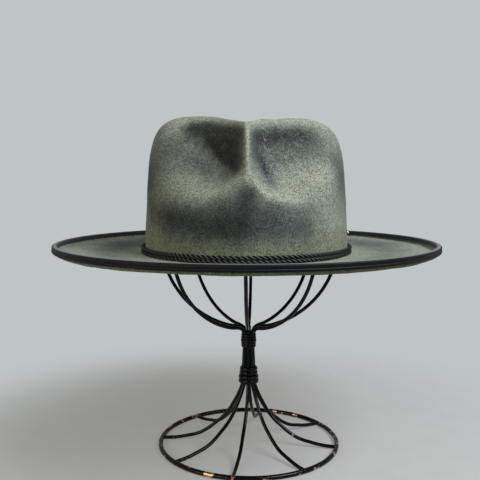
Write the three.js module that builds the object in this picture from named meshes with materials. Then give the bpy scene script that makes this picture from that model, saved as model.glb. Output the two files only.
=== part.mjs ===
// A felt hat with a centre crease and a pinched front, resting on a wire stand.
// Millimetres, +Z up. The front of the hat faces -Y, and the origin lies on the table under its middle.
import * as THREE from 'three';

// Clearance between pieces that touch
const seatGap = 0.3;

// Crown, measured outside at the band and up from the brim
const crownHalfWidth = 86.5;
const crownHalfLength = 104.5;
const crownHeight = 111.5;
const crownTaper = 0.062;
const crownSquareness = 7;
const frontDrop = 9;
const topLean = 4;
const feltWall = 2.2;

// Centre crease along the top
const creaseDepth = 26.5;
const creaseHalfWidth = 42;

// Front dents on each side of the ridge
const dentDepth = 27;
const ridgeRounding = 3;
const ridgeFlank = 9;

// Brim and its upturned edge
const brimWidth = 73.1;
const brimRise = 3.4;
const coveRadius = 0.8;
const curlRadius = 2.2;
const curlHeight = 4.1;

// Ribbon over the brim's edge
const bindingThickness = 0.8;
const bindingHeight = 4.7;
const innerLegTurn = 6;

// Cord laid twice round the crown
const cordDiameter = 2.8;

// Button on the wearer's left
const buttonDiameter = 5.6;
const buttonThickness = 1.2;
const buttonHeight = 16;
const buttonTurn = 88.4;
const studDiameter = 3;
const studHeight = 1.3;

// Stand
const standOffset = 2.3;
const ringRadius = 77.5;
const ringWire = 4;
const ribCount = 8;
const ribWire = 3.1;
const footTurn = -9;
const footHeight = 54.3;
const neckTurn = -6;
const neckHeight = 103;
const neckBend = 5;
const ballTurn = -3.5;
const ballHalfWidth = 77;
const ballHalfHeight = 74.4;
const topDiscRadius = 5;
const topDiscThickness = 3.4;
const lowerCollarDiameter = 17.6;
const lowerCollarHeight = 7.2;
const lowerCollarStepDiameter = 15.9;
const lowerCollarStepHeight = 7.1;
const upperCollarDiameter = 13.8;
const upperCollarHeight = 11.4;
const upperCollarLevel = 86.3;

// Fineness of the faceted shapes
const columnCount = 54;
const columnCrowding = 0.62;
const cordSides = 5;
const ribSides = 5;
const ringSides = 8;
const ringSteps = 36;
const ballSteps = 12;
const lathSteps = 24;
const buttonSteps = 12;

// Rows of the crown: shares of its half size on the top, then shares of its height down the wall
const topRows = [0.18, 0.36, 0.52, 0.66, 0.77, 0.855, 0.906];
const wallRows = [0.86, 0.8, 0.735, 0.675, 0.62, 0.565, 0.505, 0.44, 0.36, 0.25, 0.12];

// Front dents: their lower border and its ramp as shares of the crown's height, at the ridge and away
// from it, and the turn in degrees over which the border drops
const leftDent = {
  depthShare: 1, ridgeFoot: 0.56, farFoot: 0.37, ridgeRamp: 0.14, farRamp: 0.28, spread: 14,
};
const rightDent = {
  depthShare: 0.95, ridgeFoot: 0.56, farFoot: 0.39, ridgeRamp: 0.09, farRamp: 0.26, spread: 10,
};

// Valley of a dent: turns from the ridge, in degrees, at the shares of the height it runs between
const valley = { lowTurn: 12, highTurn: 40, lowShare: 0.58, highShare: 0.95, endTurn: 64 };

// Centre crease: shares of the crown's half length where it begins to rise and ends at the back, and
// shares of the half size between which it sinks inside the rim
const crease = { backFull: 0.20, backEnd: 0.84, rimInside: 0.42, rimOutside: 0.80 };

// Foot of a rib: shares of the ring's radius and of the foot's height, and of its swing to the foot's turn
const footProfile = [
  { out: 0.85, up: 0.047, swing: 1 },
  { out: 0.70, up: 0.085, swing: 1 },
  { out: 0.58, up: 0.128, swing: 1 },
  { out: 0.48, up: 0.203, swing: 1 },
  { out: 0.39, up: 0.30, swing: 1 },
  { out: 0.31, up: 0.395, swing: 0.9 },
  { out: 0.24, up: 0.505, swing: 0.7 },
  { out: 0.175, up: 0.65, swing: 0.4 },
  { out: 0.115, up: 0.81, swing: 0.15 },
];
const collarSpread = 0.067;

// How far the hand-bent wires stray from even turns, in degrees, at the foot and round the ball
const wireStrays = [
  { foot: -1, ball: 1 },
  { foot: -1.5, ball: 0.5 },
  { foot: -3.5, ball: 4 },
  { foot: -4.5, ball: -1.5 },
  { foot: 0, ball: 1 },
  { foot: 4, ball: 1.5 },
  { foot: 5, ball: -4 },
  { foot: 2, ball: -4 },
];

const degree = Math.PI / 180;
const smoothstep = THREE.MathUtils.smoothstep;

const standTopLevel = neckHeight + 2 * ballHalfHeight + topDiscThickness / 2;
const brimLevel = standTopLevel + seatGap + feltWall - (crownHeight - creaseDepth);
const neckRadius = (ribWire + seatGap) / (2 * Math.sin(Math.PI / ribCount));
const lowerCollarTop = footHeight + lowerCollarHeight + lowerCollarStepHeight;

const felt = new THREE.MeshStandardMaterial({ color: '#8d9386', roughness: 0.95, metalness: 0 });
const ribbon = new THREE.MeshStandardMaterial({ color: '#1b1d1c', roughness: 0.7, metalness: 0 });
const cordYarn = new THREE.MeshStandardMaterial({ color: '#141813', roughness: 0.5, metalness: 0 });
const blackLeather = new THREE.MeshStandardMaterial({ color: '#101010', roughness: 0.6, metalness: 0 });
const nickel = new THREE.MeshStandardMaterial({ color: '#d8dad6', roughness: 0.2, metalness: 1 });
const blackWire = new THREE.MeshStandardMaterial({ color: '#0c0c0d', roughness: 0.25, metalness: 0.1 });

// Turns of the columns round the hat, crowded together at the front
function columnTurns() {
  const turns = [];
  for (let i = 0; i < columnCount; i += 1) {
    const even = (2 * Math.PI * i) / columnCount;
    turns.push(even - columnCrowding * Math.sin(even));
  }
  return turns;
}

// Shares of the half size and height of the blocked crown, before any dent
function topShares(out) {
  return { out, up: (1 - out ** crownSquareness) ** (1 / crownSquareness) };
}

function wallShares(up) {
  return { out: (1 - up ** crownSquareness) ** (1 / crownSquareness), up };
}

// How far a dent pushes in at a turn and height, from 0 outside it to 1 on its floor
function dentReach(dent, turn, x, up) {
  const away = Math.min(turn, 2 * Math.PI - turn) / degree;
  const flank = 1 - Math.exp((ridgeRounding - Math.hypot(x, ridgeRounding)) / ridgeFlank);
  const rise = smoothstep(up, valley.lowShare, valley.highShare);
  const valleyTurn = valley.lowTurn + (valley.highTurn - valley.lowTurn) * rise;
  const fade = 1 - smoothstep(away, valleyTurn, valley.endTurn);
  const nearRidge = Math.exp(-((away / dent.spread) ** 2));
  const foot = dent.farFoot + (dent.ridgeFoot - dent.farFoot) * nearRidge;
  const ramp = dent.farRamp + (dent.ridgeRamp - dent.farRamp) * nearRidge;
  return flank * fade * smoothstep(up, foot, foot + ramp);
}

// How far the crease sinks at a point of the blocked crown, from 0 outside it to 1 on its floor
function creaseReach(x, y, out) {
  const across = Math.min(Math.abs(x) / creaseHalfWidth, 1);
  const end = 1 - smoothstep(y / crownHalfLength, crease.backFull, crease.backEnd);
  const inside = 1 - smoothstep(out, crease.rimInside, crease.rimOutside);
  return end * inside * Math.cos((across * Math.PI) / 2) ** 2;
}

// A point of the crown's outer face, with its dents and crease
function crownPoint(turn, shares) {
  const out = shares.out * (1 - crownTaper * shares.up);
  const blocked = new THREE.Vector2(
    crownHalfWidth * out * Math.sin(turn),
    -crownHalfLength * out * Math.cos(turn),
  );
  const dent = blocked.x < 0 ? leftDent : rightDent;
  const push = dentDepth * dent.depthShare * shares.out * dentReach(dent, turn, blocked.x, shares.up);
  const sink = creaseDepth * creaseReach(blocked.x, blocked.y, shares.out);
  const lean = (topLean / 2) * (blocked.x / crownHalfWidth);
  const place = blocked.setLength(blocked.length() - push);
  const drop = frontDrop * smoothstep(-place.y / crownHalfLength, 0.3, 1);
  const height = shares.up * (crownHeight - drop - lean) - sink;
  return new THREE.Vector3(place.x, place.y, brimLevel + height);
}

// A point beside the crown's foot: how far out from it and how high above the brim
function brimPoint(turn, out, up) {
  const x = (crownHalfWidth + out) * Math.sin(turn);
  const y = -(crownHalfLength + out) * Math.cos(turn);
  return new THREE.Vector3(x, y, brimLevel + up);
}

// The upper face of the brim from the crown's foot to the edge, as points out and up
function brimSection() {
  const points = [];
  const curlStart = brimWidth - feltWall - curlRadius;
  points.push([0, coveRadius], [coveRadius, 0]);
  for (const share of [0.4, 0.8]) {
    points.push([curlStart * share, brimRise * share ** 1.5]);
  }
  for (const turn of [0, 30, 60, 90]) {
    const reach = turn * degree;
    points.push([
      curlStart + curlRadius * Math.sin(reach),
      brimRise + curlRadius * (1 - Math.cos(reach)),
    ]);
  }
  points.push([brimWidth - feltWall, brimRise + curlHeight]);
  return points;
}

// Joins rows of points into a closed skin: rows in a loop, or an open stack closed by an end point each
function skin(rows, firstPoint, lastPoint) {
  const count = rows[0].length;
  const vertices = rows.flat();
  const faces = [];
  const looped = firstPoint === undefined;
  const bands = looped ? rows.length : rows.length - 1;
  for (let i = 0; i < bands; i += 1) {
    const here = i * count;
    const there = ((i + 1) % rows.length) * count;
    for (let j = 0; j < count; j += 1) {
      const next = (j + 1) % count;
      faces.push(here + j, there + j, there + next, here + j, there + next, here + next);
    }
  }
  if (!looped) {
    const first = vertices.push(firstPoint) - 1;
    const last = vertices.push(lastPoint) - 1;
    const lastRow = (rows.length - 1) * count;
    for (let j = 0; j < count; j += 1) {
      const next = (j + 1) % count;
      faces.push(first, j, next);
      faces.push(last, lastRow + next, lastRow + j);
    }
  }
  return solidFrom(vertices, faces);
}

// A geometry of the faces, turned so that they point out
function solidFrom(vertices, faces) {
  let volume = 0;
  for (let i = 0; i < faces.length; i += 3) {
    const [a, b, c] = [vertices[faces[i]], vertices[faces[i + 1]], vertices[faces[i + 2]]];
    volume += a.dot(new THREE.Vector3().crossVectors(b, c));
  }
  const geometry = new THREE.BufferGeometry().setFromPoints(vertices);
  geometry.setIndex(volume < 0 ? faces.reverse() : faces);
  geometry.computeVertexNormals();
  return geometry;
}

// The felt's outer face as rows of points from the crown's top to the brim's edge
function feltRows(turns) {
  const rows = [];
  for (const out of topRows) {
    rows.push(turns.map((turn) => crownPoint(turn, topShares(out))));
  }
  for (const up of wallRows) {
    rows.push(turns.map((turn) => crownPoint(turn, wallShares(up))));
  }
  for (const [out, up] of brimSection()) {
    rows.push(turns.map((turn) => brimPoint(turn, out, up)));
  }
  return rows;
}

// The same rows moved through the wall, each point square to the face round it
function innerRows(rows, top) {
  const count = rows[0].length;
  return rows.map((row, i) => row.map((point, j) => {
    const above = i > 0 ? rows[i - 1][j] : top;
    const below = rows[Math.min(i + 1, rows.length - 1)][j];
    const aside = new THREE.Vector3().subVectors(row[(j + 1) % count], row[(j + count - 1) % count]);
    const down = new THREE.Vector3().subVectors(below, above);
    const outward = new THREE.Vector3().crossVectors(down, aside).normalize();
    return point.clone().addScaledVector(outward, -feltWall);
  }));
}

function feltBody(turns) {
  const top = crownPoint(0, topShares(0));
  const outer = feltRows(turns);
  const inner = innerRows(outer, top).reverse();
  const innerTop = top.clone().setZ(top.z - feltWall);
  return skin([...outer, ...inner], top, innerTop);
}

// Ribbon folded over the edge: its outline in the section, swept round the brim
function brimBinding(turns) {
  const edgeTop = brimRise + curlHeight + seatGap;
  const curlCentre = { out: brimWidth - feltWall - curlRadius, up: brimRise + curlRadius };
  const legFoot = edgeTop + bindingThickness - bindingHeight;
  const arcPoint = (radius, reach) => [
    curlCentre.out + radius * Math.cos(reach),
    curlCentre.up - radius * Math.sin(reach),
  ];
  const innerFoot = innerLegTurn * degree;
  const outerFoot = Math.asin((curlCentre.up - legFoot) / (curlRadius + feltWall));
  const insideNear = curlRadius - seatGap;
  const insideFar = insideNear - bindingThickness;
  const outsideNear = curlRadius + feltWall + seatGap;
  const outsideFar = outsideNear + bindingThickness;
  const section = [
    arcPoint(insideNear, innerFoot),
    arcPoint(insideNear, 0),
    [curlCentre.out + insideNear, edgeTop],
    [curlCentre.out + outsideNear, edgeTop],
    arcPoint(outsideNear, 0),
    arcPoint(outsideNear, outerFoot),
    arcPoint(outsideFar, outerFoot),
    [curlCentre.out + outsideFar, edgeTop],
    [curlCentre.out + outsideNear, edgeTop + bindingThickness],
    [curlCentre.out + insideNear, edgeTop + bindingThickness],
    [curlCentre.out + insideFar, edgeTop],
    arcPoint(insideFar, innerFoot),
  ];
  return skin(turns.map((turn) => section.map(([out, up]) => brimPoint(turn, out, up))));
}

// One lay of the cord, a plain ring against the crown's foot
function cordRing(turns, lay) {
  const radius = cordDiameter / 2;
  const out = seatGap + radius;
  const up = seatGap + radius + lay * (cordDiameter + seatGap);
  const rings = turns.map((turn) => {
    const ring = [];
    for (let k = 0; k < cordSides; k += 1) {
      const around = (2 * Math.PI * (k + 0.5)) / cordSides;
      ring.push(brimPoint(turn, out + radius * Math.cos(around), up + radius * Math.sin(around)));
    }
    return ring;
  });
  return skin(rings);
}

// Stands a lathed piece on a place, with its axis along a direction
function turnedAbout(geometry, place, direction) {
  const upright = new THREE.Vector3(0, 1, 0);
  geometry.applyQuaternion(new THREE.Quaternion().setFromUnitVectors(upright, direction));
  geometry.translate(place.x, place.y, place.z);
  return geometry;
}

// Lathed about its own axis, from the profile's points out and along
function lathed(profile, steps) {
  return new THREE.LatheGeometry(profile.map(([out, along]) => new THREE.Vector2(out, along)), steps);
}

function buttonSeat() {
  const turn = buttonTurn * degree;
  const up = buttonHeight / crownHeight;
  const step = 0.01;
  const place = crownPoint(turn, wallShares(up));
  const aside = crownPoint(turn + step, wallShares(up)).sub(place);
  const above = crownPoint(turn, wallShares(up + step)).sub(place);
  return { place, direction: aside.cross(above).normalize() };
}

function sideButton() {
  const { place, direction } = buttonSeat();
  const radius = buttonDiameter / 2;
  const far = seatGap + buttonThickness;
  const shoulder = far - 0.3 * buttonThickness;
  const profile = [[0, seatGap], [radius, seatGap], [radius, shoulder], [0.8 * radius, far], [0, far]];
  return turnedAbout(lathed(profile, buttonSteps), place, direction);
}

function buttonStud() {
  const { place, direction } = buttonSeat();
  const radius = studDiameter / 2;
  const near = 2 * seatGap + buttonThickness;
  const profile = [[0, near], [radius, near]];
  for (const share of [0.3, 0.6]) {
    const reach = share * 90 * degree;
    profile.push([radius * Math.cos(reach), near + studHeight * Math.sin(reach)]);
  }
  profile.push([0, near + studHeight]);
  return turnedAbout(lathed(profile, buttonSteps), place, direction);
}

// The stand's pieces turn about its own upright axis
const upright = new THREE.Vector3(0, 0, 1);

function standLathe(profile, steps) {
  return turnedAbout(lathed(profile, steps), new THREE.Vector3(standOffset, 0, 0), upright);
}

function baseRing() {
  const profile = [];
  const corner = ringWire / 2 / Math.cos(Math.PI / ringSides);
  for (let k = 0; k <= ringSides; k += 1) {
    const around = (2 * Math.PI * (k + 0.5)) / ringSides;
    profile.push([ringRadius + corner * Math.cos(around), ringWire / 2 + corner * Math.sin(around)]);
  }
  return standLathe(profile, ringSteps);
}

// A point of the stand at a turn in degrees, out from its own axis and up
function standPoint(turn, out, up) {
  return new THREE.Vector3(
    standOffset + out * Math.sin(turn * degree),
    -out * Math.cos(turn * degree),
    up,
  );
}

// Route of a rib from the ring through the neck and round the ball
function ribRoute(index) {
  const evenTurn = (360 * index) / ribCount;
  const stray = wireStrays[index % wireStrays.length];
  const inNeck = evenTurn + neckTurn;
  const atFoot = evenTurn + footTurn + stray.foot;
  const roundBall = evenTurn + ballTurn + stray.ball;
  const route = [standPoint(atFoot, ringRadius - ringWire / 2 - 2 * seatGap, ringWire / 2)];
  for (const { out, up, swing } of footProfile) {
    const turn = inNeck + (atFoot - inNeck) * swing;
    route.push(standPoint(turn, ringRadius * out, footHeight * up));
  }
  route.push(standPoint(inNeck, ringRadius * collarSpread, footHeight));
  route.push(standPoint(inNeck, neckRadius, lowerCollarTop));
  for (const bend of [0, 45]) {
    const reach = bend * degree;
    route.push(standPoint(
      inNeck,
      neckRadius + neckBend * (1 - Math.cos(reach)),
      neckHeight - neckBend * (1 - Math.sin(reach)),
    ));
  }
  const start = Math.asin((neckRadius + neckBend) / ballHalfWidth);
  const end = Math.PI - Math.asin((topDiscRadius + 2 * seatGap) / ballHalfWidth);
  for (let i = 0; i <= ballSteps; i += 1) {
    const reach = start + ((end - start) * i) / ballSteps;
    const up = neckHeight + ballHalfHeight * (1 - Math.cos(reach));
    route.push(standPoint(roundBall, ballHalfWidth * Math.sin(reach), up));
  }
  return route;
}

function wireRib(index) {
  const points = ribRoute(index);
  const path = new THREE.CatmullRomCurve3(points, false, 'centripetal');
  path.getUtoTmapping = (share) => share;
  const section = new THREE.Shape();
  section.absarc(0, 0, ribWire / 2, 0, 2 * Math.PI);
  const corners = section.getSpacedPoints(ribSides).slice(0, ribSides);
  return new THREE.ExtrudeGeometry(new THREE.Shape(corners), {
    steps: points.length - 1,
    extrudePath: path,
  });
}

function lowerCollar() {
  const near = ribWire / 2 + seatGap + 0.05;
  const far = lowerCollarDiameter / 2;
  const step = footHeight + lowerCollarHeight;
  const stepFar = lowerCollarStepDiameter / 2;
  const foot = ringRadius * collarSpread + near;
  return standLathe([[foot, footHeight], [far, footHeight], [far, step], [stepFar, step],
    [stepFar, lowerCollarTop], [neckRadius + near, lowerCollarTop], [foot, footHeight]], lathSteps);
}

function upperCollar() {
  const near = neckRadius + ribWire / 2 + seatGap + 0.05;
  const far = upperCollarDiameter / 2;
  const top = upperCollarLevel + upperCollarHeight;
  return standLathe([[near, upperCollarLevel], [far, upperCollarLevel], [far, top], [near, top],
    [near, upperCollarLevel]], lathSteps);
}

function standTop() {
  const foot = standTopLevel - topDiscThickness;
  return standLathe([[0, foot], [topDiscRadius, foot], [topDiscRadius, standTopLevel], [0, standTopLevel]],
    lathSteps);
}

const group = new THREE.Group();

function add(name, geometry, material) {
  const mesh = new THREE.Mesh(geometry, material);
  mesh.name = name;
  group.add(mesh);
}

const turns = columnTurns();
add('felt_body', feltBody(turns), felt);
add('brim_binding', brimBinding(turns), ribbon);
add('cord_lower', cordRing(turns, 0), cordYarn);
add('cord_upper', cordRing(turns, 1), cordYarn);
add('side_button', sideButton(), blackLeather);
add('button_stud', buttonStud(), nickel);
add('base_ring', baseRing(), blackWire);
for (let index = 0; index < ribCount; index += 1) {
  add(`wire_rib_${index + 1}`, wireRib(index), blackWire);
}
add('lower_collar', lowerCollar(), blackWire);
add('upper_collar', upperCollar(), blackWire);
add('stand_top', standTop(), blackWire);

export default group;
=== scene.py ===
# A felt hat with a centre crease and a pinched front, bound at the edge, on a black wire stand.
import math

import bpy
import numpy as np
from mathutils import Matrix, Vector, noise


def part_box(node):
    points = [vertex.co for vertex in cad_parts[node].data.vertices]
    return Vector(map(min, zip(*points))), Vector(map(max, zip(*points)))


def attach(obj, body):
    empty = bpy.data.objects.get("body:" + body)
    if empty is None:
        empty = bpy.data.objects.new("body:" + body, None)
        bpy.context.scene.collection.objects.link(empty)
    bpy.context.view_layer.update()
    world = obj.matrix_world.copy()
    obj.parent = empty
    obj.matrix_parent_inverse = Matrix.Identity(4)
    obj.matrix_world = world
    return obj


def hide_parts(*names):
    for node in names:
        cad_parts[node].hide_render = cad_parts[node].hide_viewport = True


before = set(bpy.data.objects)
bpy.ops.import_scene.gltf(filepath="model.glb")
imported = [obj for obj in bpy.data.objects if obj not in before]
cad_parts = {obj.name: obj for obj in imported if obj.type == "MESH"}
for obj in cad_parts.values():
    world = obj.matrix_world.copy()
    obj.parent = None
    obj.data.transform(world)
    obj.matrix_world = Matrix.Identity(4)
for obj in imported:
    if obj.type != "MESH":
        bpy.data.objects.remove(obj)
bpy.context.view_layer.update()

mm = 0.001  # the sizes below are millimetres, the scene is in metres


# Linear colour from an sRGB hex value
def colour(hexValue):
    parts = [int(hexValue[i:i + 2], 16) / 255 for i in (1, 3, 5)]
    return tuple(p / 12.92 if p <= 0.04045 else ((p + 0.055) / 1.055) ** 2.4 for p in parts) + (1,)


# Adds a node with its settings, and links or sets its inputs
def addNode(material, kind, settings=None, inputs=None):
    made = material.node_tree.nodes.new(kind)
    for name, value in (settings or {}).items():
        setattr(made, name, value)
    for name, value in (inputs or {}).items():
        if isinstance(value, bpy.types.NodeSocket):
            material.node_tree.links.new(value, made.inputs[name])
        else:
            made.inputs[name].default_value = value
    return made


def newMaterial(name, values):
    material = bpy.data.materials.new(name)
    material.use_nodes = True
    shader = material.node_tree.nodes["Principled BSDF"]
    for socket, value in values.items():
        shader.inputs[socket].default_value = value
    return material, shader


def joinTo(material, output, socket):
    material.node_tree.links.new(output, socket)


# Maps a range of values to another, from 0 to 1 unless told
def mapRange(material, value, low, high, toLow=0, toHigh=1, **settings):
    return addNode(material, "ShaderNodeMapRange", settings, {
        "Value": value, 1: low, 2: high, 3: toLow, 4: toHigh}).outputs[0]


def calculate(material, operation, *values, clamped=False):
    return addNode(material, "ShaderNodeMath", {"operation": operation, "use_clamp": clamped},
                   dict(enumerate(values))).outputs[0]


def mixColours(material, share, first, second):
    return addNode(material, "ShaderNodeMix", {"data_type": "RGBA"},
                   {0: share, 6: first, 7: second}).outputs[2]


# Values that a piece carries at its vertices, under a name
def readFact(material, name):
    return addNode(material, "ShaderNodeAttribute", {"attribute_name": name}).outputs["Fac"]


# Place on the piece, in metres
def getWhere(material):
    return addNode(material, "ShaderNodeTexCoord").outputs["Object"]


# Noise of a size in millimetres
def addNoise(material, where, size, detail, roughness=0.5, wander=0):
    return addNode(material, "ShaderNodeTexNoise", inputs={
        "Vector": where, "Scale": 1 / (size * mm), "Detail": detail, "Roughness": roughness,
        "Distortion": wander}).outputs["Fac"]


# Raises a height as fine relief, its distance in millimetres
def addBump(material, shader, height, strength, distance, sockets=("Normal",)):
    bump = addNode(material, "ShaderNodeBump", inputs={
        "Strength": strength, "Distance": distance * mm, "Height": height})
    for socket in sockets:
        joinTo(material, bump.outputs[0], shader.inputs[socket])


# Deselects everything, so that an operator acts on the new primitive alone
def startPiece():
    if bpy.context.object and bpy.context.object.mode != "OBJECT":
        bpy.ops.object.mode_set(mode="OBJECT")
    bpy.ops.object.select_all(action="DESELECT")


def nameNew(name):
    piece = bpy.context.object
    piece.name = name
    piece.data.name = name
    return piece


# Merges what meets and turns the faces outwards
def closeMesh(reach=0.01):
    bpy.ops.object.mode_set(mode="EDIT")
    bpy.ops.mesh.select_all(action="SELECT")
    bpy.ops.mesh.remove_doubles(threshold=reach * mm)
    bpy.ops.mesh.normals_make_consistent(inside=False)
    bpy.ops.object.mode_set(mode="OBJECT")


def applyModifier(piece, kind, **settings):
    modifier = piece.modifiers.new(kind.title(), kind)
    for name, value in settings.items():
        setattr(modifier, name, value)
    bpy.context.view_layer.objects.active = piece
    bpy.ops.object.modifier_apply(modifier=modifier.name)


# Puts the place into the mesh, gives the finish and ties the piece to the frame
def finishPiece(piece, material, nodes, sharp=40):
    bpy.ops.object.select_all(action="DESELECT")
    piece.select_set(True)
    bpy.context.view_layer.objects.active = piece
    bpy.ops.object.transform_apply(location=True, rotation=True, scale=True)
    bpy.ops.object.shade_smooth_by_angle(angle=math.radians(sharp))
    piece.data.materials.clear()
    piece.data.materials.append(material)
    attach(piece, "root")
    if nodes:
        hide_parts(*nodes)
    print(piece.name, "has", sum(len(p.vertices) - 2 for p in piece.data.polygons), "triangles")


def getPlaces(piece):
    places = np.empty(len(piece.data.vertices) * 3)
    piece.data.vertices.foreach_get("co", places)
    return places.reshape(-1, 3)


def setPlaces(piece, places):
    piece.data.vertices.foreach_set("co", np.asarray(places, float).ravel())
    piece.data.update()


def getNormals(piece):
    normals = np.empty(len(piece.data.vertices) * 3)
    piece.data.vertices.foreach_get("normal", normals)
    return normals.reshape(-1, 3)


# Share of each normal that points away from the upright axis
def outwardShare(places, normals):
    away = np.hypot(places[:, 0], places[:, 1]) + 1e-6
    return (normals[:, 0] * places[:, 0] + normals[:, 1] * places[:, 1]) / away


def getFact(piece, name):
    values = np.empty(len(piece.data.vertices), np.float32)
    piece.data.attributes[name].data.foreach_get("value", values)
    return values.astype(float)


def addFact(piece, name, values):
    made = piece.data.attributes.new(name, "FLOAT", "POINT")
    made.data.foreach_set("value", np.asarray(values, np.float32))


def smooth(value, low, high):
    share = np.clip((value - low) / (high - low), 0, 1)
    return share * share * (3 - 2 * share)


# A share that is 1 at the middle and thins out over the width
def belt(value, middle, width):
    return np.exp(-(((value - middle) / width) ** 2))


# A share that rises over the first two values and falls over the last two
def between(value, start, full, last, end):
    return smooth(value, start, full) * (1 - smooth(value, last, end))


# Uneven lumps for each place in millimetres, from -1 to 1
def lumps(places, size, shift=0.0):
    return np.array([noise.noise(Vector(p) / size + Vector((shift, 0, 0))) for p in places])


# Camera of the photograph
view = {"place": (-0.0053, -0.557, 0.2249), "pitch": 4.6, "roll": 0.0, "lens": 48.3, "sensor": 36}
bpy.ops.object.camera_add(location=view["place"],
                          rotation=(math.radians(90 - view["pitch"]), math.radians(view["roll"]), 0))
camera = nameNew("photo_camera")
camera.data.lens = view["lens"]
camera.data.sensor_width = view["sensor"]
bpy.context.scene.camera = camera
bpy.context.scene.view_settings.view_transform = "Standard"
print("camera set")


# Crown and brim, the same values as in the part's source
hat = {
    "halfWidth": 86.5, "halfLength": 104.5, "height": 111.5, "taper": 0.062, "squareness": 7,
    "frontDrop": 9, "topLean": 4, "wall": 2.2,
    "creaseDepth": 26.5, "creaseHalfWidth": 42, "creaseBack": (0.20, 0.84), "creaseRim": (0.42, 0.80),
    "dentDepth": 27, "ridgeRounding": 3, "ridgeFlank": 9,
    "valleyTurns": (12, 40, 64), "valleyRise": (0.58, 0.95),
    "brimWidth": 73.1, "brimRise": 3.4, "coveRadius": 0.8, "curlRadius": 2.2, "curlHeight": 4.1,
    "columns": 240, "crowding": 0.62, "rowStep": 2.1,
}
hat["level"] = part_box("stand_top")[1].z / mm + 0.3 + hat["wall"] - hat["height"] + hat["creaseDepth"]
dents = {
    "left": {"depth": 1, "spread": 14, "ridgeFoot": 0.56, "farFoot": 0.37,
             "ridgeRamp": 0.14, "farRamp": 0.28},
    "right": {"depth": 0.95, "spread": 10, "ridgeFoot": 0.56, "farFoot": 0.39,
              "ridgeRamp": 0.09, "farRamp": 0.26},
}


def dentReach(dent, turn, x, up):
    away = np.abs(np.degrees(turn))
    rounding = hat["ridgeRounding"]
    flank = 1 - np.exp((rounding - np.hypot(x, rounding)) / hat["ridgeFlank"])
    lowTurn, highTurn, endTurn = hat["valleyTurns"]
    valley = lowTurn + (highTurn - lowTurn) * smooth(up, *hat["valleyRise"])
    fade = 1 - smooth(away, valley, endTurn)
    nearRidge = np.exp(-((away / dent["spread"]) ** 2))
    foot = dent["farFoot"] + (dent["ridgeFoot"] - dent["farFoot"]) * nearRidge
    ramp = dent["farRamp"] + (dent["ridgeRamp"] - dent["farRamp"]) * nearRidge
    return flank * fade * smooth(up, foot, foot + ramp)


# The crown's outer face at a turn, for the blocked shape's shares out and up. Also how far it is pushed
# in by a dent and sunk by the crease, both in millimetres
def crownPlace(turn, out, up):
    spread = out * (1 - hat["taper"] * up)
    x = hat["halfWidth"] * spread * np.sin(turn)
    y = -hat["halfLength"] * spread * np.cos(turn)
    left = dents["left"]["depth"] * dentReach(dents["left"], turn, x, up)
    right = dents["right"]["depth"] * dentReach(dents["right"], turn, x, up)
    push = hat["dentDepth"] * out * np.where(x < 0, left, right)
    across = np.minimum(np.abs(x) / hat["creaseHalfWidth"], 1)
    end = 1 - smooth(y / hat["halfLength"], *hat["creaseBack"])
    inside = 1 - smooth(out, *hat["creaseRim"])
    sink = hat["creaseDepth"] * end * inside * np.cos(across * math.pi / 2) ** 2
    lean = hat["topLean"] / 2 * x / hat["halfWidth"]
    length = np.maximum(np.hypot(x, y), 1e-6)
    x, y = x * (length - push) / length, y * (length - push) / length
    drop = hat["frontDrop"] * smooth(-y / hat["halfLength"], 0.3, 1)
    z = hat["level"] + up * (hat["height"] - drop - lean) - sink
    return np.stack([x, y, z], -1), push, sink


def brimPlace(turn, out, up):
    x = (hat["halfWidth"] + out) * np.sin(turn)
    y = -(hat["halfLength"] + out) * np.cos(turn)
    return np.stack([x, y, hat["level"] + up + 0 * turn], -1)


# Evenly spaced shares of the blocked crown, from the middle of its top down to the brim's cove, and the
# way up from the foot to each
def crownRows():
    power = hat["squareness"]
    corner = 0.5 ** (1 / power)
    top = np.linspace(0, corner, 400)
    wall = np.linspace(corner, hat["coveRadius"] / hat["height"], 400)[1:]
    out = np.concatenate([top, (1 - wall ** power) ** (1 / power)])
    up = np.concatenate([(1 - top ** power) ** (1 / power), wall])
    middle = (hat["halfWidth"] + hat["halfLength"]) / 2
    steps = np.hypot(np.diff(out * (1 - hat["taper"] * up)) * middle, np.diff(up) * hat["height"])
    along = np.concatenate([[0], np.cumsum(steps)])
    even = np.linspace(0, along[-1], int(along[-1] / hat["rowStep"]))
    return np.interp(even, along, out), np.interp(even, along, up), along[-1] - even


# Section of the brim's upper face, as points out and up, and the way out to each
def brimRows():
    cove, curl = hat["coveRadius"], hat["curlRadius"]
    curlStart = hat["brimWidth"] - hat["wall"] - curl
    bends = np.radians([30, 60, 90])
    slope = np.linspace(cove, curlStart, int(curlStart / hat["rowStep"]))
    rounds = np.radians(np.arange(12, 91, 13))
    edge = np.linspace(curl, hat["curlHeight"], 4)[1:]
    out = np.concatenate([cove * (1 - np.cos(bends[:2])), slope, curlStart + curl * np.sin(rounds),
                          curlStart + curl + 0 * edge])
    up = np.concatenate([cove * (1 - np.sin(bends[:2])), hat["brimRise"] * (slope / curlStart) ** 1.5,
                         hat["brimRise"] + curl * (1 - np.cos(rounds)), hat["brimRise"] + edge])
    way = np.concatenate([[0], np.cumsum(np.hypot(np.diff(out), np.diff(up)))])
    return out, up, way


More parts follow.
